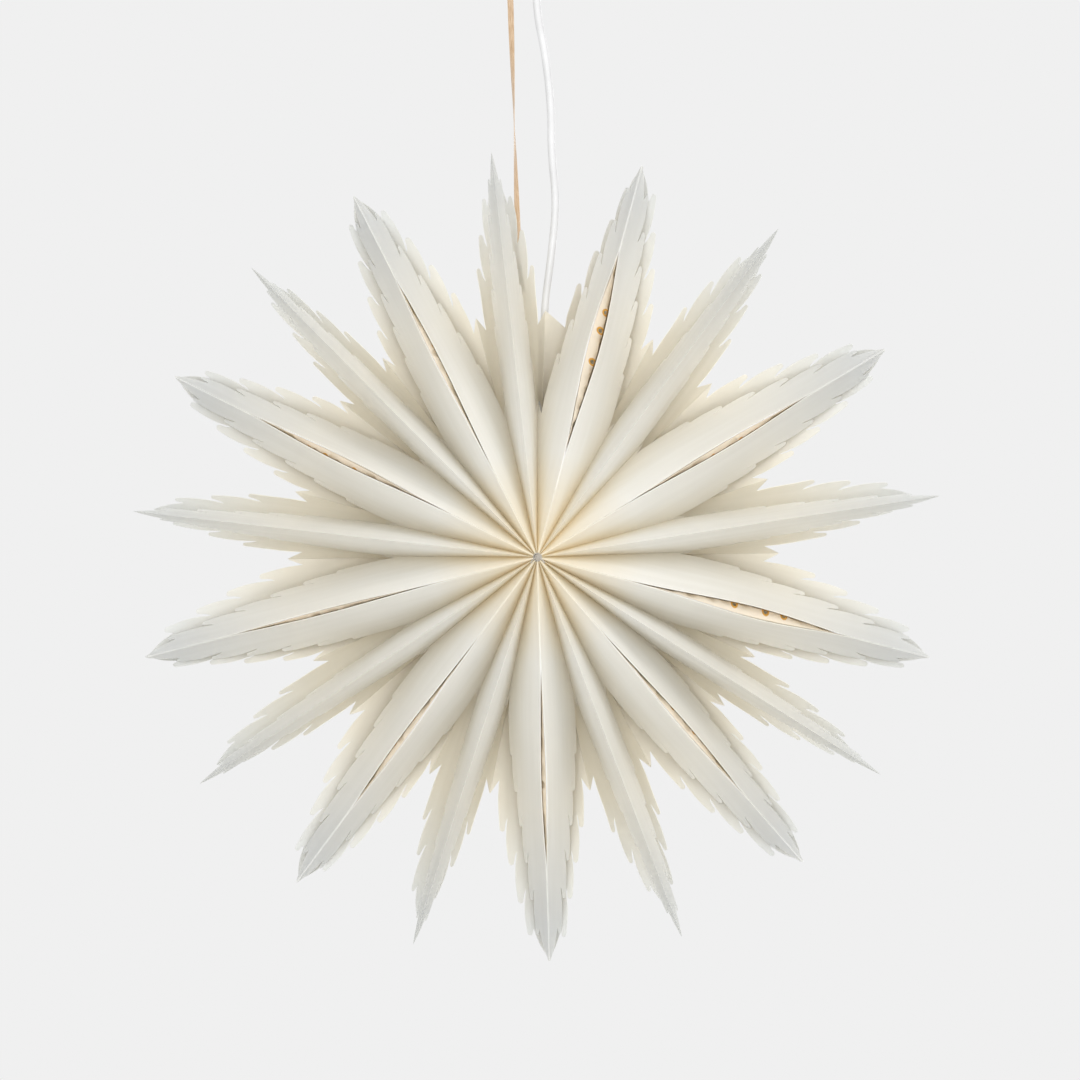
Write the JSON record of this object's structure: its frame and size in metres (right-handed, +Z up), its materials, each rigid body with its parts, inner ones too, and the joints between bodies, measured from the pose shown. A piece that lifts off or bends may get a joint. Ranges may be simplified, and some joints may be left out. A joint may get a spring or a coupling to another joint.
{
  "type": "paper star pendant",
  "caption": "Hanging folded-paper star lantern: a ring of pleated paper bags with sawtooth-cut points, on a ribbon and lamp cord from a ceiling cup.",
  "frame": {"origin": "on the ceiling surface, on the axis of the screw hook", "axes": "+Z up along the hook shank, the front of the star faces -Y, +X to its right in the picture"},
  "size_m": [0.5949, 0.1648, 0.843],
  "materials": {
    "paper": "matt uncoated white paper",
    "paper_tab": "glued paper patch",
    "thread": "grey cotton thread",
    "closure": "hook-and-loop dot",
    "ribbon": "satin ribbon, gold",
    "cord": "smooth white flex",
    "holder": "moulded white",
    "ceramic": "glazed",
    "brass": "stamped",
    "nickel": "nickel plated",
    "frosted_glass": "frosted",
    "steel": "zinc plated",
    "canopy": "moulded white"
  },
  "bodies": {
    "ceiling": {"ceiling_hook": "steel"},
    "link": {"hanging_link": "steel"},
    "pendant": {"front_wall_1": "paper", "back_wall_1": "paper", "side_wall_1": "paper", "front_wall_2": "paper", "back_wall_2": "paper", "side_wall_2": "paper", "front_wall_3": "paper", "back_wall_3": "paper", "side_wall_3": "paper", "front_wall_4": "paper", "back_wall_4": "paper", "side_wall_4": "paper", "front_wall_5": "paper", "back_wall_5": "paper", "side_wall_5": "paper", "front_wall_6": "paper", "back_wall_6": "paper", "side_wall_6": "paper", "front_wall_7": "paper", "back_wall_7": "paper", "side_wall_7": "paper", "front_wall_8": "paper", "back_wall_8": "paper", "side_wall_8": "paper", "front_wall_9": "paper", "back_wall_9": "paper", "side_wall_9": "paper", "front_tie": "thread", "back_tie": "thread", "closure_dots": "closure", "ribbon_tab": "paper_tab", "hanging_ribbon": "ribbon", "ribbon_knot": "ribbon", "lamp_cord": "cord", "cord_nipple": "holder", "holder_cap": "holder", "holder_body": "holder", "holder_insert": "ceramic", "contact_tongue": "brass", "screw_shell": "brass", "hanger_eye": "steel", "eye_nuts": "steel", "crossbar": "steel", "cup_screws": "steel", "canopy_cup": "canopy", "cord_gland": "canopy", "gland_nut": "canopy", "terminal_block": "holder", "ribbon_eye": "steel"},
    "bulb": {"bulb_cap": "nickel", "bulb_tip": "brass", "bulb_globe": "frosted_glass"},
    "shade_ring": {"holder_ring": "holder"}
  },
  "joints": [
    {"name": "link_swing", "type": "hinge", "parent": "ceiling", "child": "link", "pos_m": [0, 0, -0.024], "axis": [1, 0, 0], "range_deg": [-10, 10]},
    {"name": "pendant_swing", "type": "hinge", "parent": "link", "child": "pendant", "pos_m": [0, 0, -0.03395], "axis": [0, 1, 0], "range_deg": [-10, 10]},
    {"name": "bulb_turn", "type": "hinge", "parent": "pendant", "child": "bulb", "pos_m": [0.001, 0.018, -0.488], "axis": [0, 0, 1], "continuous": true},
    {"name": "shade_ring_turn", "type": "hinge", "parent": "pendant", "child": "shade_ring", "pos_m": [0.001, 0.018, -0.484], "axis": [0, 0, 1], "continuous": true}
  ]
}
